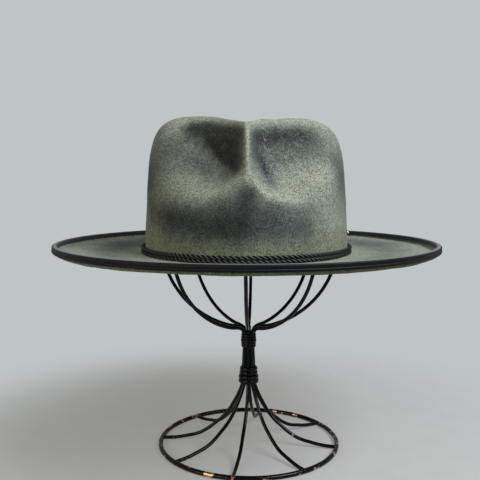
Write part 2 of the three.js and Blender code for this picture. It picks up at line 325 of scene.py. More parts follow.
# Airbrushed dyes of the felt. The charcoal and slate in the upper part of both dents, where the felt faces
# down, and on the left side, away from the light, are partly painted shade. Each pass runs between two
# places, given as the turn from the front in degrees and the way up the crown from its foot, or out over the
# brim where it is negative. Its spread is the distance in millimetres over which it thins out
airbrushAndShade = [
    # Left dent, upper part: charcoal dye and painted shade
    {"dye": "charcoal", "start": (-47, 102), "end": (-6, 102), "spread": 9, "amount": 1.0},
    {"dye": "charcoal", "start": (-42, 99), "end": (-8, 92), "spread": 10, "amount": 1.0},
    {"dye": "charcoal", "start": (-32, 92), "end": (-8, 82), "spread": 10, "amount": 1.0},
    {"dye": "charcoal", "start": (-22, 84), "end": (-7, 73), "spread": 8, "amount": 1.0},
    {"dye": "slate", "start": (-52, 84), "end": (-26, 70), "spread": 11, "amount": 0.8},
    {"dye": "slate", "start": (-16, 66), "end": (-7, 61), "spread": 6, "amount": 0.6},
    # Right dent, upper part: slate and charcoal dye and painted shade
    {"dye": "slate", "start": (8, 97), "end": (48, 98), "spread": 14, "amount": 1.0},
    {"dye": "charcoal", "start": (8, 98), "end": (44, 100), "spread": 10, "amount": 0.8},
    {"dye": "slate", "start": (5, 88), "end": (14, 66), "spread": 8, "amount": 0.95},
    {"dye": "charcoal", "start": (7, 82), "end": (13, 70), "spread": 4, "amount": 0.5},
    {"dye": "slate", "start": (16, 78), "end": (44, 84), "spread": 9, "amount": 0.6},
    {"dye": "slate", "start": (0, 53), "end": (-2, 26), "spread": 10, "amount": 1.0},
    {"dye": "charcoal", "start": (0, 50), "end": (-2, 30), "spread": 8, "amount": 0.6},
    {"dye": "slate", "start": (-12, 38), "end": (12, 36), "spread": 13, "amount": 0.9},
    {"dye": "slate", "start": (-42, 30), "end": (28, 28), "spread": 16, "amount": 0.95},
    # Low on the left of the front: charcoal dye and painted shade
    {"dye": "charcoal", "start": (-60, 34), "end": (-10, 27), "spread": 15, "amount": 0.68},
    {"dye": "charcoal", "start": (-10, 29), "end": (12, 28), "spread": 11, "amount": 0.3},
    {"dye": "slate", "start": (64, 64), "end": (112, 44), "spread": 22, "amount": 0.85},
    {"dye": "slate", "start": (60, 78), "end": (70, 40), "spread": 10, "amount": 0.35},
    {"dye": "slate", "start": (-66, 64), "end": (-112, 48), "spread": 22, "amount": 0.85},
    {"dye": "slate", "start": (-62, 92), "end": (-70, 40), "spread": 9, "amount": 0.45},
    # Left side only: charcoal dye and painted shade
    {"dye": "charcoal", "start": (-76, 58), "end": (-106, 50), "spread": 16, "amount": 0.4},
    {"dye": "slate", "start": (130, 56), "end": (-130, 56), "spread": 26, "amount": 0.85},
    {"dye": "charcoal", "start": (150, 58), "end": (-150, 56), "spread": 16, "amount": 0.5},
    {"dye": "slate", "start": (-110, -30), "end": (-24, -34), "spread": 17, "amount": 0.55},
    {"dye": "slate", "start": (30, -34), "end": (110, -36), "spread": 20, "amount": 0.5},
    {"dye": "slate", "start": (110, -40), "end": (-110, -40), "spread": 22, "amount": 0.6},
    {"dye": "slate", "start": (-24, -34), "end": (24, -34), "spread": 18, "amount": 0.5},
]
# Dye shares under the brim and on the outside of its edge: darker than above, painted shade
undersideShade = {"olive": 0.75, "slate": 0.1, "charcoal": 0.22}
degreeWidth = 1.66  # mm round the crown for each degree

# Dyes under the passes, and the areas that all dyes leave nearly bare: the ridge and the rim, a cheek, and
# the two branches that run from the ridge's foot round the dents. The right rim, the cheek and the branches
# are paler where the light from the upper right falls on them: undyed felt and painted highlight. A belt is
# a middle and a width in millimetres of the way up, turns are where an area starts, is full, is still full
# and ends
ground = {
    "slate": 0.22, "slateWay": (4, 22), "charcoal": 0.6, "creaseShadeSink": (5, 22), "dent": (4, 18),
    "olive": 0.05, "crownOlive": 0.15, "footOlive": 0.6, "footWay": (8, 30),
}
bareAndLitAreas = {
    "ridge": {"share": 0.95, "width": 2.7, "way": (58, 66)},
    "rim": {"share": 0.18, "belt": (117, 7), "lostInDents": 0.9},
    # Right rim and cheek: undyed felt and painted highlight where the light falls
    "litRightRim": {"share": 0.72, "belt": (116, 11), "turns": (-2, 6, 60, 100)},
    "litCheek": {"share": 0.75, "belt": (66, 11), "turns": (30, 42, 52, 62)},
}
bareAndLitBranches = [
    # Shelves below the dents, facing up: undyed felt and painted highlight
    {"side": 1, "share": 0.85, "foot": 49, "rise": 27, "bend": 6.5, "width": 4, "turns": (-2, 2, 24, 34)},
    {"side": -1, "share": 0.45, "foot": 52, "rise": 24, "bend": 8, "width": 5, "turns": (0, 2, 16, 40)},
]
scuffs = {"turns": (4, 12, 40, 56), "elsewhere": 0.25}

# How the hand-shaped felt stands off its even form, in millimetres: its lumps, as heights, sizes and shifts,
# the swell at the right of the ridge's top, and the fine creases, deepest in the right dent
uneven = {
    "lumps": [(0.45, 30, 0), (0.22, 9, 40), (0.10, 4, 80)],
    "swell": {"height": 1.9, "turn": (15, 12), "way": (114, 9)},
    "creases": {"size": 11, "shift": 120, "squeeze": (1, 1, 0.55), "width": 0.16, "depth": 0.5,
                "rightDepth": 0.9, "outsideDents": 0.25, "wayEnd": (92, 108)},
}


def sprayed(stroke, turn, way):
    (turnA, wayA), (turnB, wayB) = stroke["start"], stroke["end"]
    span = ((turnB - turnA + 180) % 360 - 180) * degreeWidth
    x = ((turn - turnA + 180) % 360 - 180) * degreeWidth
    rise = wayB - wayA
    share = np.clip((x * span + (way - wayA) * rise) / (span ** 2 + rise ** 2), 0, 1)
    apart = np.hypot(x - share * span, way - wayA - share * rise)
    return stroke["amount"] * belt(apart, 0, stroke["spread"])


# Darkens the brim's underside and the outside of its edge with painted shade, once the felt has its wall
def shadeUnderside(piece):
    places, normals = getPlaces(piece) / mm, getNormals(piece)
    beyond = np.hypot(places[:, 0] / hat["halfWidth"], places[:, 1] / hat["halfLength"])
    under = smooth(outwardShare(places, normals) - normals[:, 2], 0, 0.5) * smooth(beyond, 1.03, 1.08)
    for name, amount in undersideShade.items():
        mixed = getFact(piece, name) * (1 - under) + amount * under
        piece.data.attributes[name].data.foreach_set("value", mixed.astype(np.float32))


def branchShare(branch, turn, way):
    away = branch["side"] * turn
    line = branch["foot"] + branch["rise"] * np.exp(-np.maximum(away, 0) / branch["bend"])
    return branch["share"] * belt(way, line, branch["width"]) * between(away, *branch["turns"])


# Share of the dyes that is missing at each vertex: undyed felt, and painted highlight on the right rim, the
# cheek and the branches
def bareAndLitShare(turn, way, dented):
    ridge, rim, litRightRim, litCheek = (bareAndLitAreas[name] for name in ("ridge", "rim", "litRightRim", "litCheek"))
    shares = [branchShare(branch, turn, way) for branch in bareAndLitBranches]
    shares.append(ridge["share"] * belt(turn * degreeWidth, 0, ridge["width"]) * smooth(way, *ridge["way"]))
    shares.append(rim["share"] * belt(way, *rim["belt"]) * (1 - rim["lostInDents"] * dented)
                  + litRightRim["share"] * belt(way, *litRightRim["belt"]) * between(turn, *litRightRim["turns"]))
    shares.append(litCheek["share"] * belt(way, *litCheek["belt"]) * between(turn, *litCheek["turns"]))
    return np.maximum.reduce(shares)


# Strength of each dye at each vertex, painted shade and highlight included, and where the nap is scuffed
def feltDyesAndLight(turn, way, push, sink):
    inside, dented = smooth(way, 0, 1), smooth(push, *ground["dent"])
    onFoot = ground["footOlive"] * (1 - smooth(way, *ground["footWay"]))
    dyes = {
        "slate": ground["slate"] * smooth(way, *ground["slateWay"]),
        # Charcoal where the crease sinks in: painted shade
        "charcoal": ground["charcoal"] * smooth(sink, *ground["creaseShadeSink"]),
        "olive": ground["olive"] + (ground["crownOlive"] + onFoot) * inside,
    }
    for stroke in airbrushAndShade:
        reach = inside if stroke["start"][1] > 0 else 1 - inside
        dyes[stroke["dye"]] = 1 - (1 - dyes[stroke["dye"]]) * (1 - sprayed(stroke, turn, way) * reach)
    bare = bareAndLitShare(turn, way, dented) * inside
    dyes = {name: values * (1 - bare) for name, values in dyes.items()}
    dyes["scuffed"] = dented * between(turn, *scuffs["turns"]) + scuffs["elsewhere"] * inside
    return dyes


# Height in millimetres that the felt stands off its even form
def feltWave(places, turn, way, push):
    inside, dented = smooth(way, 0, 1), smooth(push, *ground["dent"])
    swell, creases = uneven["swell"], uneven["creases"]
    wave = sum(height * lumps(places, size, shift) for height, size, shift in uneven["lumps"])
    wave += swell["height"] * belt(turn, *swell["turn"]) * belt(way, *swell["way"])
    width = creases["width"]
    apart = np.abs(lumps(places * creases["squeeze"], creases["size"], creases["shift"]))
    depth = creases["depth"] + creases["rightDepth"] * dented * (turn > 0)
    depth *= creases["outsideDents"] + (1 - creases["outsideDents"]) * dented
    return wave - smooth(width - apart, 0, width) * depth * (1 - smooth(way, *creases["wayEnd"])) * inside


def buildFelt(material):
    out, up, way = crownRows()
    brimOut, brimUp, brimWay = brimRows()
    rows = len(out) + len(brimOut)
    startPiece()
    bpy.ops.mesh.primitive_grid_add(x_subdivisions=hat["columns"], y_subdivisions=rows - 1, size=2)
    piece = nameNew("felt_hat")
    flat = getPlaces(piece)
    even = flat[:, 0] * math.pi
    turn = even - hat["crowding"] * np.sin(even)
    row = np.rint((1 - flat[:, 1]) / 2 * (rows - 1)).astype(int)
    onCrown = row < len(out)
    crownRow, brimRow = np.minimum(row, len(out) - 1), np.maximum(row - len(out), 0)
    crown, push, sink = crownPlace(turn, out[crownRow], up[crownRow])
    brim = brimPlace(turn, brimOut[brimRow], brimUp[brimRow])
    setPlaces(piece, np.where(onCrown[:, None], crown, brim) * mm)
    facts = {
        "turn": np.degrees(turn),
        "way": np.where(onCrown, way[crownRow], -brimWay[brimRow]),
        "push": np.where(onCrown, push, 0),
        "sink": np.where(onCrown, sink, 0),
    }
    for name, values in facts.items():
        addFact(piece, name, values)
    closeMesh()
    places, normals = getPlaces(piece), getNormals(piece)
    if normals[np.argmax(places[:, 2]), 2] < 0:
        bpy.ops.object.mode_set(mode="EDIT")
        bpy.ops.mesh.flip_normals()
        bpy.ops.object.mode_set(mode="OBJECT")
        normals = -normals
    facts = {name: getFact(piece, name) for name in facts}
    for name in facts:
        piece.data.attributes.remove(piece.data.attributes[name])
    for name, values in feltDyesAndLight(**facts).items():
        addFact(piece, name, np.clip(values, 0, 1))
    wave = feltWave(places / mm, facts["turn"], facts["way"], facts["push"])
    setPlaces(piece, places + normals * (wave * mm)[:, None])
    applyModifier(piece, "SOLIDIFY", thickness=hat["wall"] * mm, offset=-1, use_rim=True)
    # Painted shade under the brim
    shadeUnderside(piece)
    finishPiece(piece, material, ["felt_body"], sharp=60)


# Wool felt, blocked, brushed and airbrushed with dyes, whose shares also carry painted shade and highlight:
# matt, its nap crackled into dark specks and short worm-like hairs, the borders of the dyes cloudy. The
# sizes are millimetres, the grain as coarse as it needs to show
feltLook = {
    "bare": "#a8ac98", "olive": "#737659", "slate": "#484f50", "charcoal": "#1b1b17", "hair": "#b9bfb4",
    "strengths": {"olive": 0.9, "slate": 0.92, "charcoal": 0.96},
    "noises": {
        "grain": {"size": 1.2, "detail": 2, "roughness": 0.6, "wander": 1.2},
        "speck": {"size": 0.75, "detail": 2, "roughness": 0.7},
        "cloud": {"size": 7, "detail": 4, "roughness": 0.65, "wander": 0.6},
        "drift": {"size": 26, "detail": 3, "roughness": 0.6},
        "scratch": {"size": 6, "detail": 3, "roughness": 0.6, "wander": 1.5},
    },
    # For each share of tone or hair: the noise, its range, and what the range turns into
    "ranges": {
        "grainTone": ("grain", 0.44, 0.57, 0.4, 1.2),
        "speckTone": ("speck", 0.38, 0.6, 0.6, 1.2),
        "driftTone": ("drift", 0.3, 0.7, 0.88, 1.1),
        "hairPatch": ("cloud", 0.4, 0.54, 0, 1),
    },
    # How ragged a dye is: by the fine and the cloudy noise, at its edge and everywhere
    "ragged": {"grain": 1.1, "cloud": 1.3, "middle": -1.2, "atEdge": 1.0, "everywhere": 0.12},
    "hairs": {"halfWidth": 0.03, "share": 0.55},
    "relief": {"grain": 0.75, "speck": 0.25, "strength": 0.7, "distance": 0.5},
}


def airbrushedWoolFelt():
    material, shader = newMaterial("airbrushed_wool_felt", {
        "Roughness": 0.95, "Specular IOR Level": 0.15, "Sheen Weight": 0.12, "Sheen Roughness": 0.5,
        "Sheen Tint": colour("#b9bdb0")})
    where = getWhere(material)
    noises = {name: addNoise(material, where, **look) for name, look in feltLook["noises"].items()}
    shares = {name: mapRange(material, noises[source], *limits)
              for name, (source, *limits) in feltLook["ranges"].items()}
    ragged, hairs, relief = feltLook["ragged"], feltLook["hairs"], feltLook["relief"]
    cloudy = calculate(material, "MULTIPLY_ADD", noises["cloud"], ragged["cloud"], ragged["middle"])
    rough = calculate(material, "MULTIPLY_ADD", noises["grain"], ragged["grain"], cloudy)
    base = colour(feltLook["bare"])
    # The dye shares include painted shade, and are thinned where highlight is painted
    for name, strength in feltLook["strengths"].items():
        dye = readFact(material, name)
        edge = calculate(material, "PINGPONG", dye, 0.5)
        reach = calculate(material, "MULTIPLY_ADD", edge, ragged["atEdge"], ragged["everywhere"])
        share = mapRange(material, calculate(material, "MULTIPLY_ADD", rough, reach, dye), 0, 1, 0, strength)
        base = mixColours(material, share, base, colour(feltLook[name]))
    apart = calculate(material, "ABSOLUTE", calculate(material, "SUBTRACT", noises["scratch"], 0.5))
    line = mapRange(material, apart, 0, hairs["halfWidth"], hairs["share"], 0)
    hair = calculate(material, "MULTIPLY", line, shares["hairPatch"], clamped=True)
    bared = calculate(material, "MULTIPLY", hair, readFact(material, "scuffed"), clamped=True)
    base = mixColours(material, bared, base, colour(feltLook["hair"]))
    tone = calculate(material, "MULTIPLY", shares["grainTone"], shares["speckTone"], clamped=True)
    tone = calculate(material, "MULTIPLY", tone, shares["driftTone"], clamped=True)
    tinted = addNode(material, "ShaderNodeVectorMath", {"operation": "SCALE"}, {0: base, "Scale": tone})
    joinTo(material, tinted.outputs[0], shader.inputs["Base Color"])
    fine = calculate(material, "MULTIPLY", noises["speck"], relief["speck"])
    height = calculate(material, "MULTIPLY_ADD", noises["grain"], relief["grain"], fine)
    addBump(material, shader, height, relief["strength"], relief["distance"])
    return material


# Ribbon folded over the brim's edge, its lower hem turned up on the outside
binding = {
    "gap": 0.3, "thickness": 0.8, "height": 4.7, "innerTurn": 6, "topRise": 1.2, "steps": 320,
    "hem": 0.25, "hemShares": (0, 0, 0, 0, -0.6, 1, 1, 1, 0.9, 0.4),  # how far it stands out, edge to foot
    "foldHighlight": 0.48, "innerHighlight": 0.2,  # how pale the painted highlight along the fold is, and on the inner face beside it
}


def bindingSection():
    gap, thick = binding["gap"], binding["thickness"]
    curlOut = hat["brimWidth"] - hat["wall"] - hat["curlRadius"]
    curlUp = hat["brimRise"] + hat["curlRadius"]
    edgeTop = hat["brimRise"] + hat["curlHeight"] + gap
    foot = edgeTop + thick - binding["height"]
    near, far = hat["curlRadius"] - gap, hat["curlRadius"] + hat["wall"] + gap
    inner = np.radians(np.linspace(binding["innerTurn"], 0, 3))
    levels = np.linspace(edgeTop, foot, len(binding["hemShares"]) + 1)[1:]
    fold = np.radians(np.linspace(180, 0, 15))
    middle, half = curlOut + (near + far) / 2, (far - near) / 2

    def leg(radius):
        return [(curlOut + radius * math.cos(t), curlUp - radius * math.sin(t)) for t in inner]

    def over(reach, rise):
        return [(middle + reach * math.cos(t), edgeTop + rise * math.sin(t) ** 0.8) for t in fold]

    def face(steps):
        return [(curlOut + math.sqrt((far + step) ** 2 - max(curlUp - up, 0) ** 2), up)
                for step, up in zip(steps, levels)]

    hem = [thick + binding["hem"] * share for share in binding["hemShares"]]
    under = leg(near) + over(half, binding["topRise"] - thick) + face([0] * len(levels))
    above = leg(near - thick) + over(half + thick, binding["topRise"]) + face(hem)
    return under + above[::-1]


# Spins a closed section round the upright axis, then stretches the round to the hat's oval
def spinRound(name, section, steps):
    startPiece()
    bpy.ops.mesh.primitive_circle_add(vertices=len(section), radius=mm)
    piece = nameNew(name)
    places = [(0, -(hat["halfWidth"] + out) * mm, (hat["level"] + up) * mm) for out, up in section]
    setPlaces(piece, places)
    bpy.ops.object.mode_set(mode="EDIT")
    bpy.ops.mesh.select_all(action="SELECT")
    bpy.ops.mesh.spin(steps=steps, angle=2 * math.pi, center=(0, 0, 0), axis=(0, 0, 1))
    closeMesh(0.02)
    places = getPlaces(piece)
    reach = np.hypot(places[:, 0], places[:, 1])
    places[:, 1] *= 1 + (hat["halfLength"] - hat["halfWidth"]) * mm / reach
    setPlaces(piece, places)
    return piece


def buildBinding(material):
    piece = spinRound("edge_binding", bindingSection(), binding["steps"])
    places = getPlaces(piece) / mm
    rise = places[:, 2] - hat["level"] - hat["brimRise"] - hat["curlHeight"] - binding["gap"]
    # Where the painted highlight lies: the top of the fold, and weaker the inner face
    inward = -outwardShare(places, getNormals(piece))
    fold = smooth(rise, 0.7 * binding["topRise"], binding["topRise"])
    addFact(piece, "fold", np.maximum(fold, binding["innerHighlight"] * smooth(inward, 0.3, 0.9)))
    finishPiece(piece, material, ["brim_binding"], sharp=50)


# Grosgrain ribbon, rayon over cotton: black, ribbed across, with a painted highlight along its top fold and
# a weaker one on its inner face
def blackGrosgrain():
    ribs = 0.7  # mm between the ribs, as coarse as they need to show
    material, shader = newMaterial("black_grosgrain_ribbon", {
        "Roughness": 0.45, "Specular IOR Level": 0.18, "Sheen Weight": 0.02, "Sheen Roughness": 0.3})
    where = getWhere(material)
    turned = addNode(material, "ShaderNodeSeparateXYZ", inputs={0: where}).outputs
    angle = calculate(material, "ARCTAN2", turned[0], turned[1])
    ribCount = math.pi * (hat["halfWidth"] + hat["halfLength"] + 2 * hat["brimWidth"]) / ribs
    ridge = calculate(material, "SINE", calculate(material, "MULTIPLY", angle, round(ribCount)))
    fuzz = addNoise(material, where, size=1, detail=3)
    patchShare = mapRange(material, fuzz, 0.35, 0.75)
    base = mixColours(material, patchShare, colour("#060706"), colour("#0d0e0d"))
    # Painted highlight along the top fold and on the inner face
    foldHighlight = calculate(material, "MULTIPLY", readFact(material, "fold"), binding["foldHighlight"])
    base = mixColours(material, foldHighlight, base, colour("#a6a6ab"))
    joinTo(material, base, shader.inputs["Base Color"])
    height = calculate(material, "MULTIPLY_ADD", ridge, 0.5, fuzz)
    addBump(material, shader, height, strength=0.5, distance=0.12)
    return material


# Black cord of three twisted strands, laid twice round the foot of the crown
cord = {
    "radius": 1.65, "gap": 0.3, "laid": 2.8, "pitch": 12.6, "strands": 3, "stepsAPitch": 14, "sides": 24,
    "yarns": 9, "yarnLength": 1,  # yarns seen round the cord, and mm along it for each
    "gleam": 0.9,
}


def buildCord(name, lay, node, material):
    dense = np.linspace(-math.pi, math.pi, 2001)
    out = cord["gap"] + cord["laid"] / 2
    up = cord["gap"] + cord["laid"] / 2 + lay * (cord["laid"] + cord["gap"])
    line = brimPlace(dense, out, up)
    along = np.concatenate([[0], np.cumsum(np.linalg.norm(np.diff(line, axis=0), axis=1))])
    twists = round(along[-1] / cord["pitch"])
    startPiece()
    bpy.ops.mesh.primitive_grid_add(
        x_subdivisions=twists * cord["stepsAPitch"], y_subdivisions=cord["sides"], size=2)
    piece = nameNew(name)
    flat = getPlaces(piece)
    share = (flat[:, 0] + 1) / 2
    around = flat[:, 1] * math.pi
    turn = np.interp(share * along[-1], along, dense)
    lobe = 2 * math.pi / cord["strands"]
    inLobe = (around + lobe / 2) % lobe - lobe / 2
    strand = cord["radius"] / (1 + 0.995 / math.sin(math.pi / cord["strands"]))  # just overlapping
    offset = cord["radius"] - strand
    reach = offset * np.cos(inLobe) + np.sqrt(np.maximum(strand ** 2 - (offset * np.sin(inLobe)) ** 2, 0))
    angle = around - 2 * math.pi * twists * share + lay
    place = brimPlace(turn, out + reach * np.cos(angle), up + reach * np.sin(angle))
    setPlaces(piece, place * mm)
    # Painted highlight on each strand's crest, strongest in front
    crestHighlight = smooth(np.cos(inLobe * cord["strands"] / 2), 0.9, 1) * smooth(np.cos(turn), 0.1, 0.8)
    addFact(piece, "crestHighlight", crestHighlight)
    closeMesh(0.02)
    finishPiece(piece, material, [node], sharp=75)
    print(name, "is", round(along[-1]), "mm long, with", twists, "turns of its strands")


# Twisted rayon cord: near black, with a painted green-grey highlight along each strand's crest in front, its
# yarns just raised
def blackRayonCord():
    material, shader = newMaterial("black_rayon_cord", {"Roughness": 0.3, "Specular IOR Level": 0.16})
    route = addNode(material, "ShaderNodeUVMap", {"uv_map": "UVMap"}).outputs[0]
    length = math.pi * (hat["halfWidth"] + hat["halfLength"] + cord["gap"] * 2 + cord["laid"])
    yarns = addNode(material, "ShaderNodeMapping", inputs={
        "Vector": route, "Scale": (length / cord["yarnLength"], cord["yarns"], 1)}).outputs[0]
    fibres = addNode(material, "ShaderNodeTexWave", {"bands_direction": "DIAGONAL"},
                     {"Vector": yarns, "Scale": 0.6, "Distortion": 1.2, "Detail": 2})
    fibres = fibres.outputs["Fac"]
    base = mixColours(material, fibres, colour("#020302"), colour("#080a08"))
    # Painted green-grey highlight
    lit = calculate(material, "MULTIPLY", readFact(material, "crestHighlight"), cord["gleam"])
    base = mixColours(material, lit, base, colour("#69746a"))
    joinTo(material, base, shader.inputs["Base Color"])
    addBump(material, shader, fibres, strength=0.6, distance=0.12)
    return material


# Small leather button with a metal head, on the wearer's left
button = {
    "radius": 2.8, "thickness": 1.2, "up": 16, "turn": 88.4, "gap": 0.3,
    "studRadius": 1.5, "studHeight": 1.3,
}


# Raises a disc through a profile of radii and heights by extruding and scaling its upper face
def raiseDisc(name, profile, sides):
    startPiece()
    bpy.ops.mesh.primitive_circle_add(vertices=sides, radius=profile[0][0] * mm, fill_type="NGON",
                                      location=(0, 0, profile[0][1] * mm))
    piece = nameNew(name)
    bpy.ops.object.transform_apply(location=True, rotation=True, scale=True)
    bpy.ops.object.mode_set(mode="EDIT")
    bpy.ops.mesh.select_all(action="SELECT")
    for (radius, height), (nextRadius, nextHeight) in zip(profile, profile[1:]):
        rise = (0, 0, (nextHeight - height) * mm)
        bpy.ops.mesh.extrude_region_move(TRANSFORM_OT_translate={"value": rise})
        bpy.ops.transform.resize(value=(nextRadius / radius, nextRadius / radius, 1))
    bpy.ops.mesh.select_all(action="SELECT")
    bpy.ops.mesh.normals_make_consistent(inside=False)
    bpy.ops.object.mode_set(mode="OBJECT")
    return piece


# Place on the crown's side wall in millimetres, at a turn and a share of its height
def wallPlace(turn, up):
    out = (1 - up ** hat["squareness"]) ** (1 / hat["squareness"])
    return Vector(crownPlace(np.array(turn), np.array(out), np.array(up))[0])


# Stands a piece on the crown's side wall, square to the felt
def seatOnWall(piece):
    turn, up, step = math.radians(button["turn"]), button["up"] / hat["height"], 0.01
    place = wallPlace(turn, up)
    outward = (wallPlace(turn + step, up) - place).cross(wallPlace(turn, up + step) - place).normalized()
    piece.rotation_mode = "QUATERNION"
    piece.rotation_quaternion = Vector((0, 0, 1)).rotation_difference(outward)
    piece.location = place * mm


def buildButton(leather, nickel):
    radius, near = button["radius"], 0.0
    far = button["gap"] + button["thickness"]
    dome = [(radius * 0.93, near), (radius, near + 0.25), (radius, far - 0.5), (radius * 0.95, far - 0.25),
            (radius * 0.84, far - 0.06), (radius * 0.7, far), (radius * 0.6, far - 0.08)]
    piece = raiseDisc("leather_button", dome, 40)
    seatOnWall(piece)
    finishPiece(piece, leather, ["side_button"], sharp=50)
    radius, near = button["studRadius"], far - 0.1
    rounds = [math.radians(t) for t in (0, 20, 40, 58, 74, 84)]
    top = button["studHeight"] + button["gap"]
    head = [(radius * 0.9, near), (radius, near + 0.2)]
    head += [(radius * math.cos(t), near + 0.2 + (top - 0.2) * math.sin(t)) for t in rounds[1:]]
    piece = raiseDisc("nickel_stud", head, 32)
    seatOnWall(piece)
    finishPiece(piece, nickel, ["button_stud"], sharp=50)


# Vegetable-tanned leather, dyed black and waxed: fine pebbled grain with a soft gleam
def blackLeather():
    material, shader = newMaterial("black_waxed_leather", {
        "Base Color": colour("#0d0d0c"), "Roughness": 0.42})
    pebbles = addNode(material, "ShaderNodeTexVoronoi", inputs={
        "Vector": getWhere(material), "Scale": 1 / (0.45 * mm)})
    addBump(material, shader, pebbles.outputs[0], strength=0.3, distance=0.08)
    return material


# Nickel-plated brass, polished: bright and faintly warm, with hairline scratches
def polishedNickel():
    material, shader = newMaterial("polished_nickel", {"Base Color": colour("#dcdad2"), "Metallic": 1.0})
    marks = addNoise(material, getWhere(material), size=0.5, detail=4)
    joinTo(material, mapRange(material, marks, 0.3, 0.7, 0.1, 0.26), shader.inputs["Roughness"])
    return material


# Wire stand, the same values as in the part's source. The foot's rows give the share of the ring's radius,
# the share of the foot's height, and how far the wire has swung to its turn at the ring. The strays are how
# far each hand-bent wire is from even turns at the foot and round the ball. A collar's rows give each turn's
# outer radius and height
stand = {
    "offset": 2.3, "ringRadius": 77.5, "ringWire": 4, "ribWire": 3.1, "gap": 0.3, "collarSpread": 0.067,
    "footTurn": -9, "neckTurn": -6, "ballTurn": -3.5, "footHeight": 54.3, "neckHeight": 103, "neckBend": 5,
    "lowerCollar": 7.2, "lowerStep": 7.1, "upperLevel": 86.3, "ballWidth": 77, "ballHeight": 74.4,
    "ballPoints": 26, "discRadius": 5, "discThickness": 3.4, "lumpSize": 5, "lumpHeight": 0.1,
    "foot": [(0.85, 0.047, 1), (0.70, 0.085, 1), (0.58, 0.128, 1), (0.48, 0.203, 1), (0.39, 0.30, 1),
             (0.31, 0.395, 0.9), (0.24, 0.505, 0.7), (0.175, 0.65, 0.4), (0.115, 0.81, 0.15)],
    "strays": [(-1, 1), (-1.5, 0.5), (-3.5, 4), (-4.5, -1.5), (0, 1), (4, 1.5), (5, -4), (2, -4)],
    "upperTurns": [(6.5, 2.2), (6.6, 2.2), (6.9, 2.6), (6.7, 2.2), (6.5, 2.2)], "upperThickness": 1.4,
    "lowerThickness": 2.2, "glintHeight": 45,
}
stand["neckRadius"] = (stand["ribWire"] + stand["gap"]) / (2 * math.sin(math.pi / len(stand["strays"])))
stand["lowerTurns"] = [(8.9, stand["lowerCollar"] / 2), (8.8, stand["lowerCollar"] / 2),
                       (8.0, stand["lowerStep"] / 2), (7.8, stand["lowerStep"] / 2)]


def ribRoute(index):
    even, (footStray, ballStray) = 45 * index, stand["strays"][index]
    inNeck, atFoot = even + stand["neckTurn"], even + stand["footTurn"] + footStray
    onBall = even + stand["ballTurn"] + ballStray
    neck, bend, ring = stand["neckHeight"], stand["neckBend"], stand["ringRadius"]
    route = [(atFoot, ring - 0.5, stand["ringWire"] / 2)]
    route += [(inNeck + (atFoot - inNeck) * swing, ring * out, stand["footHeight"] * up)
              for out, up, swing in stand["foot"]]
    route += [(inNeck, ring * stand["collarSpread"], stand["footHeight"])]
    route += [(inNeck, stand["neckRadius"], stand["footHeight"] + stand["lowerCollar"] + stand["lowerStep"])]
    for reach in (0, math.radians(45)):
        route.append((inNeck, stand["neckRadius"] + bend * (1 - math.cos(reach)),
                      neck - bend * (1 - math.sin(reach))))
    start = math.asin((stand["neckRadius"] + bend) / stand["ballWidth"])
    end = math.pi - math.asin((stand["discRadius"] - 0.5) / stand["ballWidth"])
    for reach in np.linspace(start, end, stand["ballPoints"]):
        route.append((onBall, stand["ballWidth"] * math.sin(reach),
                      neck + stand["ballHeight"] * (1 - math.cos(reach))))
    return [(stand["offset"] + out * math.sin(math.radians(turn)), -out * math.cos(math.radians(turn)), up)
            for turn, out, up in route]


# Runs and drips of the dipped lacquer
def addLumps(piece):
    places = getPlaces(piece)
    lump = stand["lumpHeight"] * lumps(places / mm, stand["lumpSize"])
    setPlaces(piece, places + getNormals(piece) * (lump * mm)[:, None])


def buildRib(index, material):
    startPiece()
    bpy.ops.curve.primitive_bezier_curve_add()
    wire = nameNew(f"wire_{index + 1}").data
    wire.splines.clear()
    wire.dimensions = "3D"
    spline = wire.splines.new("BEZIER")
    route = ribRoute(index)
    spline.bezier_points.add(len(route) - 1)
    for point, place in zip(spline.bezier_points, route):
        point.co = Vector(place) * mm
        point.handle_left_type = point.handle_right_type = "AUTO"
    wire.resolution_u = 6
    wire.bevel_depth = stand["ribWire"] / 2 * mm
    wire.bevel_resolution = 4
    wire.use_fill_caps = True
    bpy.ops.object.convert(target="MESH")
    closeMesh(0.001)
    rib = bpy.context.object
    addLumps(rib)
    finishPiece(rib, material, [f"wire_rib_{index + 1}"], sharp=60)


def buildRing(material):
    startPiece()
    half = stand["ringWire"] / 2 * mm
    bpy.ops.mesh.primitive_torus_add(
        major_segments=200, minor_segments=18, major_radius=stand["ringRadius"] * mm,
        minor_radius=half, location=(stand["offset"] * mm, 0, half))
    piece = nameNew("foot_ring")
    bpy.ops.object.transform_apply(location=True, rotation=True, scale=True)
    addLumps(piece)
    places = getPlaces(piece)
    places[:, 2] = np.maximum(places[:, 2], 0)
    setPlaces(piece, places)
    finishPiece(piece, material, ["base_ring"], sharp=60)


# A collar of wire turns wound round the neck, one above the other
def buildCollar(name, which, level, material):
    startPiece()
    made, thickness = [], stand[which + "Thickness"]
    for radius, height in stand[which + "Turns"]:
        bpy.ops.mesh.primitive_torus_add(
            major_segments=64, minor_segments=14, major_radius=(radius - thickness / 2) * mm,
            minor_radius=thickness / 2 * mm, location=(stand["offset"] * mm, 0, (level + height / 2) * mm))
        bpy.context.object.scale = (1, 1, 1.1 * height / thickness)  # each turn reaches into the next
        made.append(bpy.context.object)
        level += height
    bpy.ops.object.select_all(action="DESELECT")
    for ring in made:
        ring.select_set(True)
    bpy.context.view_layer.objects.active = made[0]
    bpy.ops.object.transform_apply(location=True, rotation=True, scale=True)
    bpy.ops.object.join()
    piece = nameNew(name)
    addLumps(piece)
    finishPiece(piece, material, [which + "_collar"], sharp=60)


